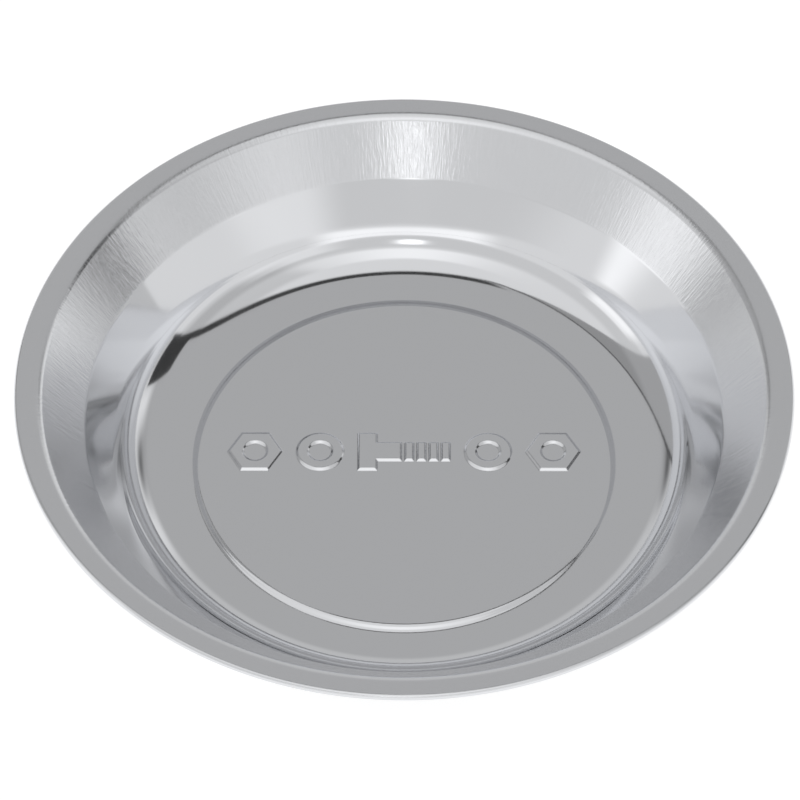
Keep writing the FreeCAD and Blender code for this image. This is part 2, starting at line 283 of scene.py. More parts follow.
def add_turned_rows(draft, outline, segments, material_of=None):
    """Turns an outline round the Z axis. Returns the vertex indices of its first and last rows."""
    cosines, sines = np.cos(circle_angles(segments)), np.sin(circle_angles(segments))
    rows = []
    for point, normal in outline:
        if point[0] < SAME_POINT:
            pole = draft.add_vertices([(0, 0, point[1])], [(0, 0, math.copysign(1, normal[1]))])
            rows.append(pole * segments)
            continue
        positions = np.column_stack([point[0] * cosines, point[0] * sines, np.full(segments, point[1])])
        directions = np.column_stack([normal[0] * cosines, normal[0] * sines, np.full(segments, normal[1])])
        rows.append(draft.add_vertices(positions, directions))
    for index, (lower, upper) in enumerate(zip(rows, rows[1:])):
        middle = (outline[index][0] + outline[index + 1][0]) / 2
        normal = (outline[index][1] + outline[index + 1][1]) / 2
        draft.join_loops(lower, upper, material_of(middle, normal) if material_of else 0)
    return rows[0], rows[-1]


def turned_ring(name, corners, radii, segments, material):
    """A ring with a closed, rounded section. Its corners run clockwise from the upper inner one."""
    draft = MeshDraft()
    first_row, last_row = add_turned_rows(draft, closed_outline(corners, radii), segments)
    draft.join_loops(last_row, first_row)
    return draft.to_object(name, [material])


def stand_for(piece, node):
    """The piece replaces a CAD node, which is hidden, and hangs from the root body."""
    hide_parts(node)
    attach(piece, "root")


# --- Dish ------------------------------------------------------------------------------------

def dish_upper_corners():
    """Sharp corners and bend radii of the dish's inside, from the axis out to the curl."""
    crease_height = RIM_TOP - (MOUTH_RADIUS - CREASE_RADIUS) * math.tan(UPPER_WALL_SLOPE)
    bend_height = crease_height - (CREASE_RADIUS - SOFT_BEND_RADIUS) * math.tan(MIDDLE_WALL_SLOPE)
    wall_foot = SOFT_BEND_RADIUS - (bend_height - FLOOR_TOP) / math.tan(LOWER_WALL_SLOPE)
    corners = [
        (0, PLATEAU_TOP),
        (PLATEAU_RADIUS + STEP_EDGE, PLATEAU_TOP),
        (PLATEAU_RADIUS + STEP_WIDTH - STEP_EDGE, FLOOR_TOP),
        (wall_foot, FLOOR_TOP),
        (SOFT_BEND_RADIUS, bend_height),
        (CREASE_RADIUS, crease_height),
        (MOUTH_RADIUS, RIM_TOP),
        (RIM_RADIUS, RIM_TOP),
    ]
    radii = [STEP_ARC, STEP_ARC, FLOOR_FILLET, SOFT_BEND_ARC, CREASE_ARC, MOUTH_ARC]
    return corners, radii


def dish_outline():
    """Closed section of the dish's sheet, up over the inside, round the curled rim and back underneath."""
    upper, upper_radii = dish_upper_corners()
    under = moved_inward(upper, SHEET)
    under_radii = moved_radii(upper, upper_radii, SHEET)
    inner_curl = CURL_RADIUS - SHEET
    hem_foot = RIM_TOP - 2 * CURL_RADIUS
    curl = [
        (RIM_RADIUS, hem_foot),
        (HEM_START, hem_foot),
        (HEM_START, hem_foot + SHEET),
        (RIM_RADIUS - SHEET, hem_foot + SHEET),
        (RIM_RADIUS - SHEET, RIM_TOP - SHEET),
    ]
    curl_radii = [CURL_RADIUS * NEARLY] * 2 + [SHEET_EDGE_ARC] * 2 + [inner_curl * NEARLY] * 2
    corners = upper + curl + under[-2::-1]
    radii = upper_radii + curl_radii + under_radii[::-1]
    return rounded_outline(corners, radii)


def box_distance(x, y, half_length, half_width):
    """Signed distance to a rectangle centred on the origin."""
    beyond_x = np.abs(x) - half_length
    beyond_y = np.abs(y) - half_width
    outside = np.hypot(np.maximum(beyond_x, 0), np.maximum(beyond_y, 0))
    return outside + np.minimum(np.maximum(beyond_x, beyond_y), 0)


def bolt_distance(x, y):
    """Signed distance to the lying bolt: a head, a shank and thread grooves across the shank's end."""
    left = -BOLT_LENGTH / 2
    head = box_distance(x - left - BOLT_HEAD_LENGTH / 2, y, BOLT_HEAD_LENGTH / 2, SYMBOL_HEIGHT / 2)
    shank = box_distance(x, y, BOLT_LENGTH / 2, BOLT_SHANK_WIDTH / 2)
    bolt = np.minimum(head, shank)
    for index in range(THREAD_GROOVE_COUNT):
        groove_x = left + BOLT_LENGTH - THREAD_PITCH * (index + 1) + THREAD_GROOVE / 2
        bolt = np.maximum(bolt, THREAD_GROOVE / 2 - np.abs(x - groove_x))
    return bolt


def symbol_distance(x, y):
    """Signed distance to the edge of the nearest raised symbol, negative inside it."""
    nut_width = SYMBOL_HEIGHT * 2 / math.sqrt(3)
    washer_x = BOLT_LENGTH / 2 + SYMBOL_GAP + SYMBOL_HEIGHT / 2
    nut_x = washer_x + SYMBOL_HEIGHT / 2 + SYMBOL_GAP + nut_width / 2
    half = SYMBOL_HEIGHT / 2
    distance = bolt_distance(x, y)
    for side in (-1, 1):
        from_washer = np.hypot(x - side * washer_x, y)
        distance = np.minimum(distance, np.maximum(from_washer - half, SYMBOL_HOLE_RADIUS - from_washer))
        across, along = np.abs(y), np.abs(x - side * nut_x)
        hexagon = np.maximum(across, along * math.sqrt(3) / 2 + across / 2) - half
        hole = SYMBOL_HOLE_RADIUS - np.hypot(x - side * nut_x, y)
        distance = np.minimum(distance, np.maximum(hexagon, hole))
    return distance


def emboss_height(x, y):
    """Height of the raised row above the plateau: a smooth rise across each symbol's edge."""
    rise = np.clip(0.5 - symbol_distance(x, y) / (2 * EMBOSS_SLOPE), 0, 1)
    return EMBOSS_HEIGHT * rise * rise * (3 - 2 * rise)


def add_plateau(draft, edge_row, material):
    """Fills the plateau inside the first turned row: a fine grid that carries the symbols, and flat sheet."""
    half_x = BOLT_LENGTH / 2 + 2 * SYMBOL_GAP + SYMBOL_HEIGHT * (1 + 2 / math.sqrt(3)) + PATCH_MARGIN
    half_y = SYMBOL_HEIGHT / 2 + PATCH_MARGIN
    columns = math.ceil(2 * half_x / PATCH_STEP)
    rows = math.ceil(2 * half_y / PATCH_STEP)
    x, y = np.meshgrid(np.linspace(-half_x, half_x, columns + 1), np.linspace(-half_y, half_y, rows + 1))
    nudge = PATCH_STEP / 8
    slope_x = (emboss_height(x + nudge, y) - emboss_height(x - nudge, y)) / (2 * nudge)
    slope_y = (emboss_height(x, y + nudge) - emboss_height(x, y - nudge)) / (2 * nudge)
    heights = PLATEAU_TOP + emboss_height(x, y)
    positions = np.column_stack([x.ravel(), (y + SYMBOL_ROW_Y).ravel(), heights.ravel()])
    normals = np.column_stack([-slope_x.ravel(), -slope_y.ravel(), np.ones(x.size)])
    normals /= np.linalg.norm(normals, axis=1)[:, None]
    first = draft.add_vertices(positions, normals)[0]
    width = columns + 1
    for row in range(rows):
        for column in range(columns):
            corner = first + row * width + column
            draft.add_face([corner, corner + 1, corner + width + 1, corner + width], material)
    border = [first + column for column in range(columns)]
    border += [first + row * width + columns for row in range(rows)]
    border += [first + rows * width + column for column in range(columns, 0, -1)]
    border += [first + row * width for row in range(rows, 0, -1)]
    add_flat_ring(draft, edge_row, border, material)


def add_flat_ring(draft, outer, inner, material):
    """Flat sheet between an outer loop and an inner loop of vertices that the draft already has."""
    loops = outer + inner
    points = [Vector(draft.vertices[index][:2]) for index in loops]
    edges = [(i, (i + 1) % len(outer)) for i in range(len(outer))]
    edges += [(len(outer) + i, len(outer) + (i + 1) % len(inner)) for i in range(len(inner))]
    found_points, _, triangles, _, _, _ = delaunay_2d_cdt(points, edges, [], 0, FILL_TOLERANCE)
    if len(found_points) != len(points):
        raise ValueError("the plateau's fill made new points")
    inner_x = max(abs(draft.vertices[index][0]) for index in inner)
    inner_y = max(abs(draft.vertices[index][1] - SYMBOL_ROW_Y) for index in inner)
    for triangle in triangles:
        middle = sum((found_points[i] for i in triangle), Vector((0, 0))) / 3
        if abs(middle.x) < inner_x and abs(middle.y - SYMBOL_ROW_Y) < inner_y:
            continue
        draft.add_face([loops[i] for i in triangle], material)


# Finishes of the dish, in the order of its materials.
LIP, DRAWN, POLISHED, PLATEAU, UNDERSIDE = range(5)


def dish_finish(middle, normal):
    """Which finish the dish has at a point of its section."""
    if normal[1] < 0 and middle[0] < HEM_START:
        return UNDERSIDE
    if middle[0] > LIP_START:
        return LIP
    if middle[0] > CREASE_RADIUS:
        return DRAWN
    if middle[0] > PLATEAU_RADIUS + STEP_WIDTH:
        return POLISHED
    return PLATEAU


def make_dish(finishes):
    """The pressed dish. Its sheet is turned round the axis, apart from the plateau's upper face."""
    draft = MeshDraft()
    outline = dish_outline()
    first_row, _ = add_turned_rows(draft, outline[1:], DISH_SEGMENTS, dish_finish)
    add_plateau(draft, first_row, PLATEAU)
    stand_for(draft.to_object("dish_pressing", finishes), "dish")


# --- Magnet base -----------------------------------------------------------------------------

def make_magnet(material):
    """Ferrite ring with bevelled edges. The lower bevels clear the cup's bends."""
    low, high, edge = MAGNET_LOW.z, MAGNET_HIGH.z, MAGNET_HIGH.x
    inner, cut = MAGNET_BORE_RADIUS, MAGNET_CHAMFER
    corners = [
        (inner, high - cut), (inner + cut, high), (edge - cut, high), (edge, high - cut),
        (edge, low + CUP_BEND), (edge - CUP_BEND, low), (inner + CUP_BEND, low), (inner, low + CUP_BEND),
    ]
    magnet = turned_ring("magnet_ring", corners, [SMALL_EDGE] * len(corners), BASE_SEGMENTS, material)
    stand_for(magnet, "ring_magnet")


def make_adhesive(material):
    """A pressed ring of adhesive. Its free edges bulge a little where it was squeezed."""
    low, high, outer = ADHESIVE_LOW.z, ADHESIVE_HIGH.z, ADHESIVE_HIGH.x
    inner = ADHESIVE_BORE_RADIUS
    corners = [(inner, high), (outer, high), (outer, low), (inner, low)]
    bead = (high - low) / 2 * NEARLY
    adhesive = turned_ring("adhesive_bead", corners, [bead] * len(corners), BASE_SEGMENTS, material)
    stand_for(adhesive, "adhesive_ring")


def make_cup(material):
    """Drawn steel cup: a raised centre with the stud's hole, a flat floor and a low wall."""
    floor_top = CUP_LOW.z + CUP_SHEET
    inside_radius = CUP_HIGH.x - CUP_SHEET
    boss_top = FLAT_WASHER_HIGH.z + CUP_SHEET
    upper = [
        (CUP_BORE_RADIUS, boss_top),
        (CUP_BOSS_RADIUS, boss_top),
        (CUP_BOSS_RADIUS, floor_top),
        (inside_radius, floor_top),
        (inside_radius, CUP_HIGH.z),
    ]
    upper_radii = [CUP_BEND + CUP_SHEET, CUP_BEND, CUP_BEND]
    under = moved_inward(upper, CUP_SHEET)
    under_radii = moved_radii(upper, upper_radii, CUP_SHEET)
    corners = [tuple(corner) for corner in upper + under[::-1]]
    radii = [SMALL_EDGE] + upper_radii + [SMALL_EDGE, SMALL_EDGE] + under_radii[::-1] + [SMALL_EDGE]
    cup = turned_ring("pressed_cup", corners, radii, BASE_SEGMENTS, material)
    stand_for(cup, "steel_cup")


def make_boot(material):
    """Rubber cover: ribs to stand on, a hole for the nut's socket, and a lip that grips the cup's wall."""
    rib_top = BOOT_LOW.z + RIB_HEIGHT
    floor_top = rib_top + BOOT_FLOOR
    lip_low = BOOT_HIGH.z - BOOT_LIP
    cavity_radius = CUP_HIGH.x + BOOT_FIT
    corners = [
        (ACCESS_HOLE_RADIUS, floor_top), (cavity_radius, floor_top), (cavity_radius, lip_low),
        (BOOT_LIP_RADIUS, lip_low), (BOOT_LIP_RADIUS, BOOT_HIGH.z), (BOOT_TOP_RADIUS, BOOT_HIGH.z),
        (BOOT_HIGH.x, rib_top),
    ]
    radii = [BOOT_SOFT_EDGE] * 6 + [BOOT_EDGE_ROUND]
    for radius in reversed(RIB_RADII):
        outer, inner = radius + RIB_WIDTH / 2, radius - RIB_WIDTH / 2
        corners += [(outer, rib_top), (outer, BOOT_LOW.z), (inner, BOOT_LOW.z), (inner, rib_top)]
        radii += [BOOT_SOFT_EDGE / 2, BOOT_SOFT_EDGE, BOOT_SOFT_EDGE, BOOT_SOFT_EDGE / 2]
    corners.append((ACCESS_HOLE_RADIUS, rib_top))
    radii.append(BOOT_SOFT_EDGE / 2)
    boot = turned_ring("moulded_boot", corners, radii, BASE_SEGMENTS, material)
    stand_for(boot, "rubber_boot")


# --- Fastening -------------------------------------------------------------------------------

def make_stud(material):
    """Weld stud: a thin flange above a threaded shank whose end is bevelled."""
    low, high = STUD_LOW.z, STUD_HIGH.z
    flange_foot = high - STUD_FLANGE_THICKNESS
    flange_radius = STUD_HIGH.x
    draft = MeshDraft()
    angles = circle_angles(SMALL_SEGMENTS)
    rows = [draft.add_vertices([(0, 0, low)]) * SMALL_SEGMENTS]
    heights = np.linspace(low, flange_foot - STUD_FILLET, math.ceil((flange_foot - low) / STUD_ROW_STEP))
    for height in heights:
        radii = thread_radius(angles, height, low, flange_foot)
        rows.append(add_loop(draft, angles, radii, height))
    for radius, height in (
        (STUD_RADIUS, flange_foot),
        (flange_radius - SMALL_EDGE, flange_foot),
        (flange_radius, flange_foot + SMALL_EDGE),
        (flange_radius, high - SMALL_EDGE),
        (flange_radius - SMALL_EDGE, high),
    ):
        rows.append(add_loop(draft, angles, np.full(SMALL_SEGMENTS, radius), height))
    rows.append(draft.add_vertices([(0, 0, high)]) * SMALL_SEGMENTS)
    for lower, upper in zip(rows, rows[1:]):
        draft.join_loops(upper, lower)
    stud = draft.to_object("threaded_stud", [material], SHARP_ANGLE)
    stand_for(stud, "weld_stud")


def thread_radius(angles, height, low, flange_foot):
    """Radius of the threaded shank round one level: a helical groove, bevelled off at the lower end."""
    turn = (height / STUD_THREAD_PITCH - angles / (2 * math.pi)) % 1
    from_crest = 0.5 - STUD_THREAD_FLAT / 2 - np.abs(turn - 0.5)
    groove = np.clip(from_crest / (0.5 - STUD_THREAD_FLAT), 0, 1)
    fade = min(1.0, (flange_foot - height) / STUD_THREAD_FADE)
    radii = STUD_RADIUS - STUD_THREAD_DEPTH * groove * fade
    bevel = STUD_RADIUS - STUD_POINT + (height - low)
    return np.minimum(radii, bevel)


def add_loop(draft, angles, radii, heights):
    """One closed loop of vertices, given as radii and heights round the Z axis."""
    heights = np.broadcast_to(heights, angles.shape)
    return draft.add_vertices(np.column_stack([radii * np.cos(angles), radii * np.sin(angles), heights]))


def make_flat_washer(material):
    """A flat ring with slightly rounded edges."""
    low, high, outer = FLAT_WASHER_LOW.z, FLAT_WASHER_HIGH.z, FLAT_WASHER_HIGH.x
    inner = FASTENER_BORE_RADIUS
    corners = [(inner, high), (outer, high), (outer, low), (inner, low)]
    washer = turned_ring("plain_washer", corners, [SMALL_EDGE] * len(corners), SMALL_SEGMENTS, material)
    stand_for(washer, "flat_washer")


def make_spring_washer(material):
    """A ring with a slanted slot at its +X side, where the wire's two ends face each other."""
    low, high = SPRING_WASHER_LOW.z, SPRING_WASHER_HIGH.z
    outer, inner = -SPRING_WASHER_LOW.x, FASTENER_BORE_RADIUS
    corners = [(inner, high), (outer, high), (outer, low), (inner, low)]
    section = closed_outline(corners, [SMALL_EDGE] * len(corners))
    draft = MeshDraft()
    loops = []
    for share in np.linspace(0, 1, SMALL_SEGMENTS + 1):
        loop = []
        for (radius, height), _ in section:
            slant = height - low
            start = math.asin((slant + SPRING_WASHER_SLOT) / radius)
            end = 2 * math.pi + math.asin(slant / radius)
            angle = start + (end - start) * share
            loop.append((radius * math.cos(angle), radius * math.sin(angle), height))
        loops.append(draft.add_vertices(loop))
    for here, after in zip(loops, loops[1:]):
        draft.join_loops(after, here)
    draft.add_face(loops[0])
    draft.add_face(loops[-1][::-1])
    washer = draft.to_object("split_washer", [material], SHARP_ANGLE)
    stand_for(washer, "spring_washer")


def make_nut(material):
    """Hex nut whose corners are cut by a cone above and below, with a bevelled hole."""
    low, high = NUT_LOW.z, NUT_HIGH.z
    half_flats = NUT_HIGH.y
    angles = circle_angles(NUT_SEGMENTS)
    off_flat = angles % (math.pi / 3) - math.pi / 6
    corner_radius = 2 * half_flats / math.sqrt(3) - NUT_CORNER_TRIM
    hexagon = np.minimum(half_flats / np.cos(off_flat), corner_radius)
    face_radius = half_flats - SMALL_EDGE
    bevel_drop = (hexagon - face_radius) * math.tan(NUT_BEVEL)
    bore = np.full(NUT_SEGMENTS, FASTENER_BORE_RADIUS)
    mouth = bore + NUT_BORE_CHAMFER
    face = np.full(NUT_SEGMENTS, face_radius)
    levels = [
        (bore, high - NUT_BORE_CHAMFER), (mouth, high), (face, high), (hexagon, high - bevel_drop),
        (hexagon, low + bevel_drop), (face, low), (mouth, low), (bore, low + NUT_BORE_CHAMFER),
    ]
    draft = MeshDraft()
    loops = [add_loop(draft, angles, radii, heights) for radii, heights in levels]
    for here, after in zip(loops, loops[1:] + loops[:1]):
        draft.join_loops(after, here)
    nut = draft.to_object("hexagon_nut", [material], SHARP_ANGLE)
    stand_for(nut, "hex_nut")


# --- Materials -------------------------------------------------------------------------------

STEEL_COLOUR = (0.752, 0.760, 0.780)
NOISE_LOW, NOISE_HIGH = 0.3, 0.7


class Nodes:
    """Short way to build a material's node tree."""

    def __init__(self, name):
        self.material = bpy.data.materials.new(name)
        self.material.use_nodes = True
        self.tree = self.material.node_tree
        self.shader = self.tree.nodes["Principled BSDF"]

    def add(self, kind, **settings):
        node = self.tree.nodes.new(kind)
        for key, value in settings.items():
            setattr(node, key, value)
        return node

    def link(self, source, target):
        self.tree.links.new(source, target)

    def set(self, **values):
        """Sets shader inputs by their names, written with underscores for spaces."""
        for name, value in values.items():
            self.shader.inputs[name.replace("_", " ")].default_value = value

    def object_coordinates(self):
        return self.add("ShaderNodeTexCoord").outputs["Object"]

    def math(self, operation, first, second):
        node = self.add("ShaderNodeMath", operation=operation)
        for socket, value in zip(node.inputs, (first, second)):
            if isinstance(value, (int, float)):
                socket.default_value = value
            else:
                self.link(value, socket)
        return node.outputs[0]

    def noise(self, vector, scale, detail, roughness=0.5):
        node = self.add("ShaderNodeTexNoise")
        node.inputs["Scale"].default_value = scale
        node.inputs["Detail"].default_value = detail
        node.inputs["Roughness"].default_value = roughness
        self.link(vector, node.inputs["Vector"])
        return node.outputs["Fac"]

    def between(self, value, low, high):
        """Maps the usual range of a noise to low and high."""
        node = self.add("ShaderNodeMapRange")
        node.inputs["From Min"].default_value = NOISE_LOW
        node.inputs["From Max"].default_value = NOISE_HIGH
        node.inputs["To Min"].default_value = low
        node.inputs["To Max"].default_value = high
        self.link(value, node.inputs["Value"])
        return node.outputs["Result"]

    def roughness(self, value, low, high):
        self.link(self.between(value, low, high), self.shader.inputs["Roughness"])

    def tint(self, value, dark, light):
        """Base colour that goes from dark to light with a noise."""
        node = self.add("ShaderNodeMix", data_type="RGBA")
        node.inputs["A"].default_value = (*dark, 1)
        node.inputs["B"].default_value = (*light, 1)
        self.link(self.between(value, 0, 1), node.inputs["Factor"])
        self.link(node.outputs["Result"], self.shader.inputs["Base Color"])

    def bump(self, height, distance):
        node = self.add("ShaderNodeBump")
        node.inputs["Distance"].default_value = distance
        self.link(height, node.inputs["Height"])
        self.link(node.outputs["Normal"], self.shader.inputs["Normal"])

    def around_axis(self, turn_scale, section_scale):
        """Coordinates on a cylinder: one scale round the Z axis, another along radius plus height."""
        split = self.add("ShaderNodeSeparateXYZ")
        self.link(self.object_coordinates(), split.inputs[0])
        flat = self.add("ShaderNodeCombineXYZ")
        self.link(split.outputs["X"], flat.inputs["X"])
        self.link(split.outputs["Y"], flat.inputs["Y"])
        unit = self.add("ShaderNodeVectorMath", operation="NORMALIZE")
        self.link(flat.outputs[0], unit.inputs[0])
        wide = self.add("ShaderNodeVectorMath", operation="SCALE")
        wide.inputs["Scale"].default_value = turn_scale
        self.link(unit.outputs[0], wide.inputs[0])
        length = self.add("ShaderNodeVectorMath", operation="LENGTH")
        self.link(flat.outputs[0], length.inputs[0])
        along = self.math("ADD", length.outputs["Value"], split.outputs["Z"])
        tall = self.add("ShaderNodeCombineXYZ")
        self.link(self.math("MULTIPLY", along, section_scale), tall.inputs["Z"])
        join = self.add("ShaderNodeVectorMath", operation="ADD")
        self.link(wide.outputs[0], join.inputs[0])
        self.link(tall.outputs[0], join.inputs[1])
        return join.outputs[0]


def metal(name):
    """A plain metal. Its roughness, and its colour where that is mottled, come from noises."""
    nodes = Nodes(name)
    nodes.set(Metallic=1.0)
    return nodes


def steel(name):
    """The dish's stainless steel."""
    nodes = metal(name)
    nodes.set(Base_Color=(*STEEL_COLOUR, 1))
    return nodes


def lip_material():
    """Satin lip: the rolled edge was ground, so its grain is fine and dull."""
    nodes = steel("steel_satin_lip")
    grain = nodes.noise(nodes.around_axis(turn_scale=0.5, section_scale=120), scale=40, detail=3)
    nodes.roughness(grain, low=0.18, high=0.26)
    nodes.bump(grain, distance=0.002 * MM)
    return nodes.material


def drawn_wall_material():
    """Upper wall: fine marks of the deep drawing run down it, next to each other round the dish."""
    nodes = steel("steel_drawn_wall")
    around = nodes.around_axis(turn_scale=1, section_scale=1.5)
    marks = nodes.noise(around, scale=140, detail=3, roughness=0.6)
    nodes.roughness(marks, low=0.16, high=0.24)
    nodes.bump(marks, distance=0.04 * MM)
    return nodes.material


def polished_material():
    """Lower wall and floor: polished, with faint smears."""
    nodes = steel("steel_polished")
    smear = nodes.noise(nodes.object_coordinates(), scale=70, detail=4)
    nodes.roughness(smear, low=0.06, high=0.10)
    return nodes.material


def plateau_material():
    """Plateau and its step: polished sheet with a very fine rolling grain."""
    nodes = steel("steel_plateau")
    grain = nodes.noise(nodes.object_coordinates(), scale=1500, detail=3)
    nodes.roughness(grain, low=0.10, high=0.16)
    nodes.bump(grain, distance=0.002 * MM)
    return nodes.material


def underside_material():
    """Underside of the dish: unpolished, with drawing marks round it."""
    nodes = steel("steel_underside")
    marks = nodes.noise(nodes.around_axis(turn_scale=0.6, section_scale=60), scale=40, detail=4)
    nodes.roughness(marks, low=0.28, high=0.42)
    nodes.bump(marks, distance=0.01 * MM)
    return nodes.material


def cup_material():
    """Pressed, thinly zinc plated sheet with circular marks from the die."""
    nodes = metal("pressed_steel")
    marks = nodes.noise(nodes.around_axis(turn_scale=0.8, section_scale=90), scale=30, detail=4)
    nodes.roughness(marks, low=0.32, high=0.48)
    nodes.tint(marks, dark=(0.44, 0.44, 0.45), light=(0.55, 0.55, 0.56))
    nodes.bump(marks, distance=0.01 * MM)
    return nodes.material


def zinc_material():
    """Bright zinc plating: a little mottled and slightly blue."""
    nodes = metal("zinc_plating")
    mottle = nodes.noise(nodes.object_coordinates(), scale=900, detail=4)
    nodes.roughness(mottle, low=0.26, high=0.42)
    nodes.tint(mottle, dark=(0.54, 0.58, 0.61), light=(0.68, 0.70, 0.72))
    nodes.bump(mottle, distance=0.006 * MM)
    return nodes.material


def ferrite_material():
    """Ground ferrite: charcoal grey and granular."""
    nodes = Nodes("ferrite")
    grain = nodes.noise(nodes.object_coordinates(), scale=1400, detail=5, roughness=0.65)
    nodes.roughness(grain, low=0.5, high=0.75)
    nodes.tint(grain, dark=(0.030, 0.030, 0.031), light=(0.062, 0.060, 0.058))
    nodes.bump(grain, distance=0.04 * MM)
    return nodes.material


def adhesive_material():
    """Cured adhesive: off-white and slightly uneven."""
    nodes = Nodes("cured_adhesive")
    nodes.set(Subsurface_Weight=0.1, Subsurface_Scale=1.0 * MM)
    blotch = nodes.noise(nodes.object_coordinates(), scale=260, detail=4)
    nodes.roughness(blotch, low=0.32, high=0.5)
    nodes.tint(blotch, dark=(0.62, 0.61, 0.55), light=(0.74, 0.73, 0.68))
    nodes.bump(blotch, distance=0.06 * MM)
    return nodes.material


def rubber_material():
    """Moulded black rubber with a fine pebbled skin."""
    nodes = Nodes("boot_rubber")
    pebbles = nodes.noise(nodes.object_coordinates(), scale=1600, detail=3, roughness=0.6)
    wear = nodes.noise(nodes.object_coordinates(), scale=90, detail=4)
    nodes.roughness(wear, low=0.48, high=0.64)
    nodes.tint(wear, dark=(0.016, 0.016, 0.017), light=(0.027, 0.027, 0.028))
    nodes.bump(pebbles, distance=0.03 * MM)
    return nodes.material


# --- Camera ----------------------------------------------------------------------------------

CAMERA_DISTANCE = 0.8
CAMERA_ELEVATION = math.radians(50.0)
CAMERA_LENS = 187.2
CAMERA_SENSOR = 36.0
CAMERA_NEAREST = 0.01
CAMERA_AIM = Vector((-0.0008, 0, RIM_TOP - 0.0062))


def make_camera():
    """Looks down into the tray from the front, through a long lens."""
    camera = bpy.data.objects.new("camera", bpy.data.cameras.new("camera"))
    camera.data.lens = CAMERA_LENS
    camera.data.sensor_width = CAMERA_SENSOR
    camera.data.clip_start = CAMERA_NEAREST
    rim_centre = Vector((0, 0, RIM_TOP))
    back = Vector((0, -math.cos(CAMERA_ELEVATION), math.sin(CAMERA_ELEVATION)))
    camera.location = rim_centre + CAMERA_DISTANCE * back
    camera.rotation_euler = (CAMERA_AIM - camera.location).to_track_quat("-Z", "Y").to_euler()
    bpy.context.collection.objects.link(camera)
    bpy.context.scene.camera = camera


# --- Light tent ------------------------------------------------------------------------------
# Directions are as seen from the tray, in degrees. Azimuth 0 is straight behind it, 90 is right,
# 180 in front and -90 left. A pair is a span from low to high, and a fade is the width of the soft
# edge outside it. Places on the ceiling are x and y, right and back, for a ceiling 1 above the tray.

TENT_RADIUS = 2.2
TENT_LOWEST = -3
TENT_STEP = 0.75
LEAST_UPWARD = 0.001             # keeps places on the ceiling finite near the horizon

TENT_LEVEL = 0.85                # scales the brightness of everything above the table
TABLE_GLOW = 1.05
FRONT_CLOTH = 1.0
REAR_CLOTH = 0.58
LEFT_CLOTH = 0.5
DARK_GAP = 0.06

# Front cloth: darker from one height, lighter again from another, and shaded on its right part.
FRONT_STEP = 0.15
FRONT_DARKENS = (18, 23)
FRONT_LIGHTENS = (38, 46)
SHADE = 0.2
SHADE_OFF_FRONT = (40, 55)
SHADE_HEIGHTS = (30, 60)
SHADE_FADE = 8

# Lamp and glow in the front cloth, both round the same azimuth and fading away from it.
LAMP = 2.0
LAMP_AZIMUTH = 182.5
LAMP_WIDTH = 4.2
LAMP_HEIGHTS = (31, 35)
LAMP_FADE = 4
GLOW = 0.35
GLOW_WIDTH = 35
GLOW_HEIGHTS = (48, 63)
GLOW_FADE = 5

# Windows: brightness, span and fade of the azimuth, span and fade of the elevation.
FRONT_WINDOW = (0.45, (0, 22), 14, (15, 18), 2)
LEFT_WINDOW = (0.45, (92, 106), 8, (14, 24), 4)
RIGHT_WINDOW = (0.25, (128, 146), 16, (22, 32), 5)

# Rear cloth: lighter low down, more so on the walls at its sides, with a dark stand on each side.
REAR_LOW_ENDS = (20, 30)
REAR_LOW = 0.15
RIGHT_WALL = 0.35
LEFT_WALL = 0.1
WALL_AZIMUTHS = (32, 62)
WALL_FADE = 14
STAND_DARKNESS = 0.8
STAND_AZIMUTH, STAND_WIDTH = 45, 10
STAND_ELEVATION, STAND_HEIGHT = 21, 6

# Left cloth: beyond a slanting seam on the ceiling, down to where the front cloth starts.
SEAM_X = -0.22
SEAM_WIDTH = 0.02
LEFT_CLOTH_END = -81
LEFT_CLOTH_LOWEST = 12
LEFT_CLOTH_STEP = 0.1

# Dark openings: one along the ceiling between front and rear cloth, one low down on the right.
CEILING_GAP_Y = (0.03, 0.14)
CEILING_GAP_LOWEST = 14
SIDE_GAP_AZIMUTHS = (69, 88)
SIDE_GAP_HEIGHTS = (15, 38)


def ease(value, span):
    """Goes smoothly from 0 at the start of the span to 1 at its end."""
    low, high = span
    share = np.clip((value - low) / (high - low), 0, 1)
    return share * share * (3 - 2 * share)


def band(value, span, fade):
    """1 within the span, fading to 0 outside each end of it."""
    low, high = span
    return ease(value, (low - fade, low)) * (1 - ease(value, (high, high + fade)))


def window(azimuth, elevation, sizes):
    """Extra brightness of a window with soft edges."""
    brightness, azimuths, side_fade, heights, height_fade = sizes
    return brightness * band(azimuth, azimuths, side_fade) * band(elevation, heights, height_fade)


def within(value, span):
    """Whether the value is inside the span."""
    return (value > span[0]) & (value < span[1])


def bell(offset, width):
    """1 in the middle, falling away to both sides."""
    return np.exp(-(offset / width) ** 2)


def front_cloth(azimuth, elevation):
    """White cloth in front of the tray, with a lamp, a wide glow above it and three soft windows."""
    off_front = 180 - np.abs(azimuth)
    off_lamp = np.where(azimuth > 0, azimuth, azimuth + 360) - LAMP_AZIMUTH
    cloth = FRONT_CLOTH + FRONT_STEP * (ease(elevation, FRONT_LIGHTENS) - ease(elevation, FRONT_DARKENS))
    shade = SHADE * ease(off_front, SHADE_OFF_FRONT) * band(elevation, SHADE_HEIGHTS, SHADE_FADE)
    lamp = LAMP * bell(off_lamp, LAMP_WIDTH) * band(elevation, LAMP_HEIGHTS, LAMP_FADE)
    glow = GLOW * bell(off_lamp, GLOW_WIDTH) * band(elevation, GLOW_HEIGHTS, GLOW_FADE)
    windows = window(off_front, elevation, FRONT_WINDOW)
    windows += window(-azimuth, elevation, LEFT_WINDOW)
    windows += window(azimuth, elevation, RIGHT_WINDOW)
    return cloth - shade * (azimuth > 0) + lamp + glow + windows


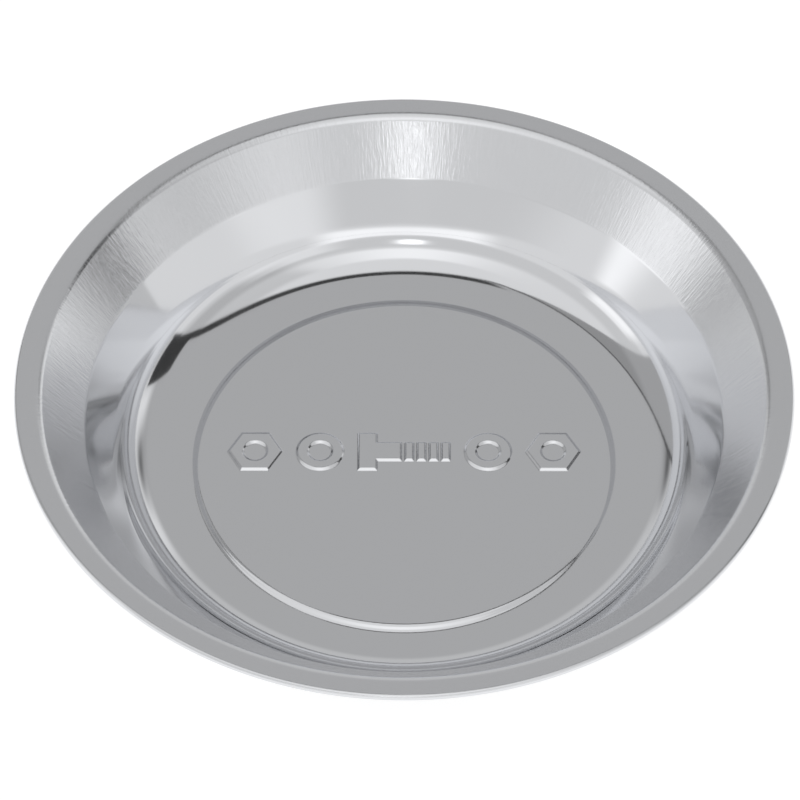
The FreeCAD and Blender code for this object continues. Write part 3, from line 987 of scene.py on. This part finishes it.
def rear_cloth(azimuth, elevation):
    """Grey cloth behind the tray, with light walls low down and a dark stand on both sides."""
    right_wall = RIGHT_WALL * band(azimuth, WALL_AZIMUTHS, WALL_FADE)
    left_wall = LEFT_WALL * band(-azimuth, WALL_AZIMUTHS, WALL_FADE)
    low = (1 - ease(elevation, REAR_LOW_ENDS)) * (REAR_LOW + right_wall + left_wall)
    from_stand = np.abs(azimuth) - STAND_AZIMUTH
    stands = bell(from_stand, STAND_WIDTH) * bell(elevation - STAND_ELEVATION, STAND_HEIGHT)
    return (REAR_CLOTH + low) * (1 - STAND_DARKNESS * stands)


def tent_brightness(directions):
    """How bright the tent looks in each direction from the tray: +X is right, +Y is behind, +Z is up."""
    x, y, z = directions.T
    azimuth = np.degrees(np.arctan2(x, y))
    elevation = np.degrees(np.arcsin(np.clip(z, -1, 1)))
    upward = np.maximum(z, LEAST_UPWARD)
    ceiling_x = x / upward
    ceiling_y = y / upward
    front = front_cloth(azimuth, elevation)
    left = LEFT_CLOTH - LEFT_CLOTH_STEP * ease(elevation, FRONT_LIGHTENS)
    from_seam = ceiling_x + ceiling_y - SEAM_X
    beyond_seam = (from_seam < 0) & (y > 0)
    on_left_cloth = (azimuth > LEFT_CLOTH_END) & (elevation > LEFT_CLOTH_LOWEST)
    cloth = np.where(ceiling_y < 0, front, rear_cloth(azimuth, elevation))
    cloth = np.where(beyond_seam & on_left_cloth, left, cloth)
    cloth = np.where(beyond_seam & (azimuth <= LEFT_CLOTH_END), front, cloth)
    ceiling_gap = within(ceiling_y, CEILING_GAP_Y) & (ceiling_x > SEAM_X) & (elevation > CEILING_GAP_LOWEST)
    seam_width = SEAM_WIDTH * np.sqrt(1 + ceiling_x ** 2 + ceiling_y ** 2)
    seam = (np.abs(from_seam) < seam_width) & (y > 0)
    side_gap = within(azimuth, SIDE_GAP_AZIMUTHS) & within(elevation, SIDE_GAP_HEIGHTS)
    cloth = np.where(ceiling_gap | seam | side_gap, DARK_GAP, cloth)
    return np.where(z < 0, TABLE_GLOW, TENT_LEVEL * cloth)


def dome_mesh():
    """Directions and faces of a dome that reaches a little below the horizon."""
    elevations = np.radians(np.arange(TENT_LOWEST, 90, TENT_STEP))
    azimuths = np.radians(np.arange(0, 360, TENT_STEP))
    up, side = np.meshgrid(elevations, azimuths, indexing="ij")
    directions = np.column_stack([
        (np.cos(up) * np.sin(side)).ravel(),
        (np.cos(up) * np.cos(side)).ravel(),
        np.sin(up).ravel(),
    ])
    directions = np.vstack([directions, [0, 0, 1]])
    top = len(directions) - 1
    faces = []
    for level in range(len(elevations)):
        for index in range(len(azimuths)):
            here = level * len(azimuths) + index
            after = level * len(azimuths) + (index + 1) % len(azimuths)
            if level == len(elevations) - 1:
                faces.append((here, after, top))
            else:
                faces.append((here, after, after + len(azimuths), here + len(azimuths)))
    return directions, faces


def make_light_tent():
    """A dome of glowing cloth round the tray. The camera looks through it."""
    directions, faces = dome_mesh()
    mesh = bpy.data.meshes.new("light_tent")
    mesh.from_pydata((directions * TENT_RADIUS).tolist(), [], faces)
    brightness = mesh.attributes.new("brightness", "FLOAT", "POINT")
    brightness.data.foreach_set("value", tent_brightness(directions))
    nodes = Nodes("tent_cloth")
    nodes.set(Base_Color=(0, 0, 0, 1), Specular_IOR_Level=0.0, Emission_Color=(1, 1, 1, 1))
    attribute = nodes.add("ShaderNodeAttribute", attribute_name="brightness")
    nodes.link(attribute.outputs["Fac"], nodes.shader.inputs["Emission Strength"])
    nodes.material.cycles.emission_sampling = "NONE"
    mesh.materials.append(nodes.material)
    tent = bpy.data.objects.new("light_tent", mesh)
    tent.visible_camera = False
    bpy.context.collection.objects.link(tent)


# --- Floor and world -------------------------------------------------------------------------

FLOOR_REACH = 4.0
FLOOR_COLOUR = (0.35, 0.35, 0.35)
FLOOR_GLOW = 0.82
WORLD_COLOUR = (0.9, 0.9, 0.9)


def make_floor():
    """White table top, lit from below as well so that the tray's shadow stays faint."""
    reach = FLOOR_REACH
    corners = [(-reach, -reach, 0), (reach, -reach, 0), (reach, reach, 0), (-reach, reach, 0)]
    mesh = bpy.data.meshes.new("floor")
    mesh.from_pydata(corners, [], [(0, 1, 2, 3)])
    floor = bpy.data.objects.new("floor", mesh)
    nodes = Nodes("floor_white")
    nodes.set(Base_Color=(*FLOOR_COLOUR, 1), Roughness=0.9, Specular_IOR_Level=0.0,
              Emission_Color=(1, 1, 1, 1), Emission_Strength=FLOOR_GLOW)
    nodes.material.cycles.emission_sampling = "NONE"
    mesh.materials.append(nodes.material)
    bpy.context.collection.objects.link(floor)


def make_world():
    """White surroundings, which the camera sees above the floor."""
    world = bpy.data.worlds.new("studio")
    bpy.context.scene.world = world
    world.use_nodes = True
    world.node_tree.nodes["Background"].inputs["Color"].default_value = (*WORLD_COLOUR, 1)


# --- The whole tray --------------------------------------------------------------------------

def make_base():
    """Every piece under the dish."""
    zinc = zinc_material()
    make_adhesive(adhesive_material())
    make_magnet(ferrite_material())
    make_cup(cup_material())
    make_boot(rubber_material())
    make_stud(zinc)
    make_flat_washer(zinc)
    make_spring_washer(zinc)
    make_nut(zinc)


make_dish([
    lip_material(), drawn_wall_material(), polished_material(), plateau_material(), underside_material(),
])
make_base()
make_light_tent()
make_floor()
make_world()
make_camera()
bpy.context.scene.view_settings.view_transform = "Standard"
